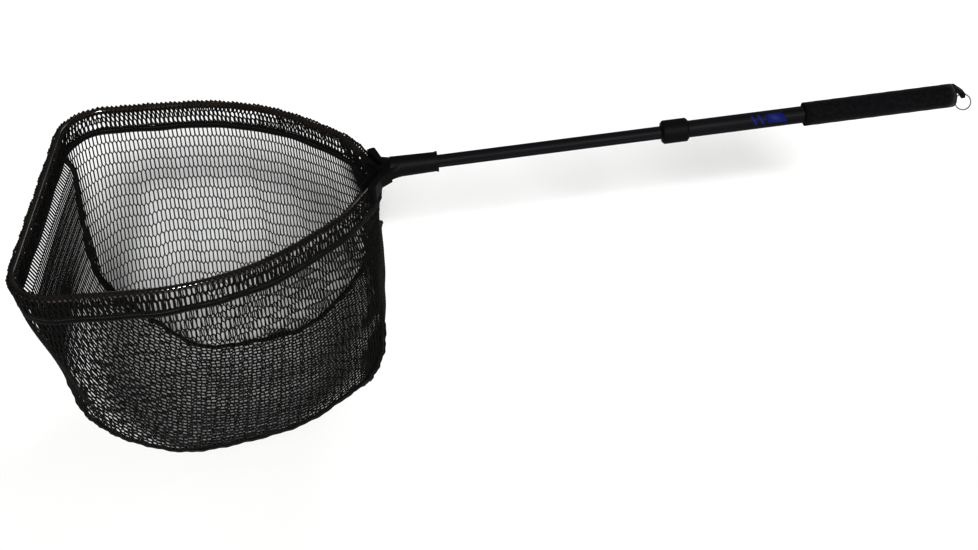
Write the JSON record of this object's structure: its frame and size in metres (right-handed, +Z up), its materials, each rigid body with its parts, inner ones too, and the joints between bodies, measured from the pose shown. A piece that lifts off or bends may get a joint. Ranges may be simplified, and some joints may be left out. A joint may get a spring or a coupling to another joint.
{
  "type": "landing net",
  "caption": "Telescopic landing net: foam-gripped handle with a twist lock, forked yoke, rounded trapezoid hoop and a deep netting bag with a gusset.",
  "frame": {"origin": "middle of the foam grip's length, on the handle's axis", "axes": "+X along the handle from the hoop to the butt cap, +Z up out of the bag's mouth, Y across the hoop"},
  "size_m": [1.1899, 0.4288, 0.3684],
  "materials": {
    "black_anodised_tube": "satin black anodised",
    "grip_foam": "matt closed-cell foam",
    "black_moulding": "matt moulded",
    "grey_moulding": "dark grey, matt moulded",
    "white_acetal": "smooth acetal",
    "ring_wire": "plated wire",
    "yoke_nylon": "glass-filled nylon, fine grain",
    "screw_steel": "plated steel",
    "hoop_tube_gloss": "gloss black powder coat",
    "netting": "knotless black netting",
    "binding_tape": "woven black tape"
  },
  "bodies": {
    "handle": {"outer_tube": "black_anodised_tube", "grip_foam": "grip_foam", "end_cap": "black_moulding", "lock_body": "black_moulding"},
    "head": {"inner_tube": "black_anodised_tube", "guide_bush": "white_acetal", "yoke": "yoke_nylon", "yoke_screw": "screw_steel", "hoop_tube": "hoop_tube_gloss", "hoop_screws": "screw_steel", "net_hem": "netting", "rim_tape": "binding_tape", "net_side_far": "netting", "net_side_near": "netting", "net_gusset": "netting", "seam_tape_far": "binding_tape", "seam_tape_near": "binding_tape"},
    "collet": {"lock_collet": "white_acetal"},
    "nut": {"lock_nut": "grey_moulding"},
    "ring": {"split_ring": "ring_wire"}
  },
  "joints": [
    {"name": "handle_slide", "type": "slide", "parent": "handle", "child": "head", "axis": [1, 0, 0], "range_m": [0, 0.27]},
    {"name": "collet_slide", "type": "slide", "parent": "handle", "child": "collet", "axis": [-1, 0, 0], "range_m": [0, 0.001]},
    {"name": "nut_turn", "type": "hinge", "parent": "collet", "child": "nut", "pos_m": [-0.26, 0, 0], "axis": [-1, 0, 0], "range_deg": [0, 120]},
    {"name": "ring_swing", "type": "hinge", "parent": "handle", "child": "ring", "pos_m": [0.1081, 0, 0], "axis": [1, 0, 0], "range_deg": [-45, 120]}
  ],
  "couplings": [
    {"joint": "collet_slide", "follows": "nut_turn", "m_per_rad": 0.00047746}
  ]
}
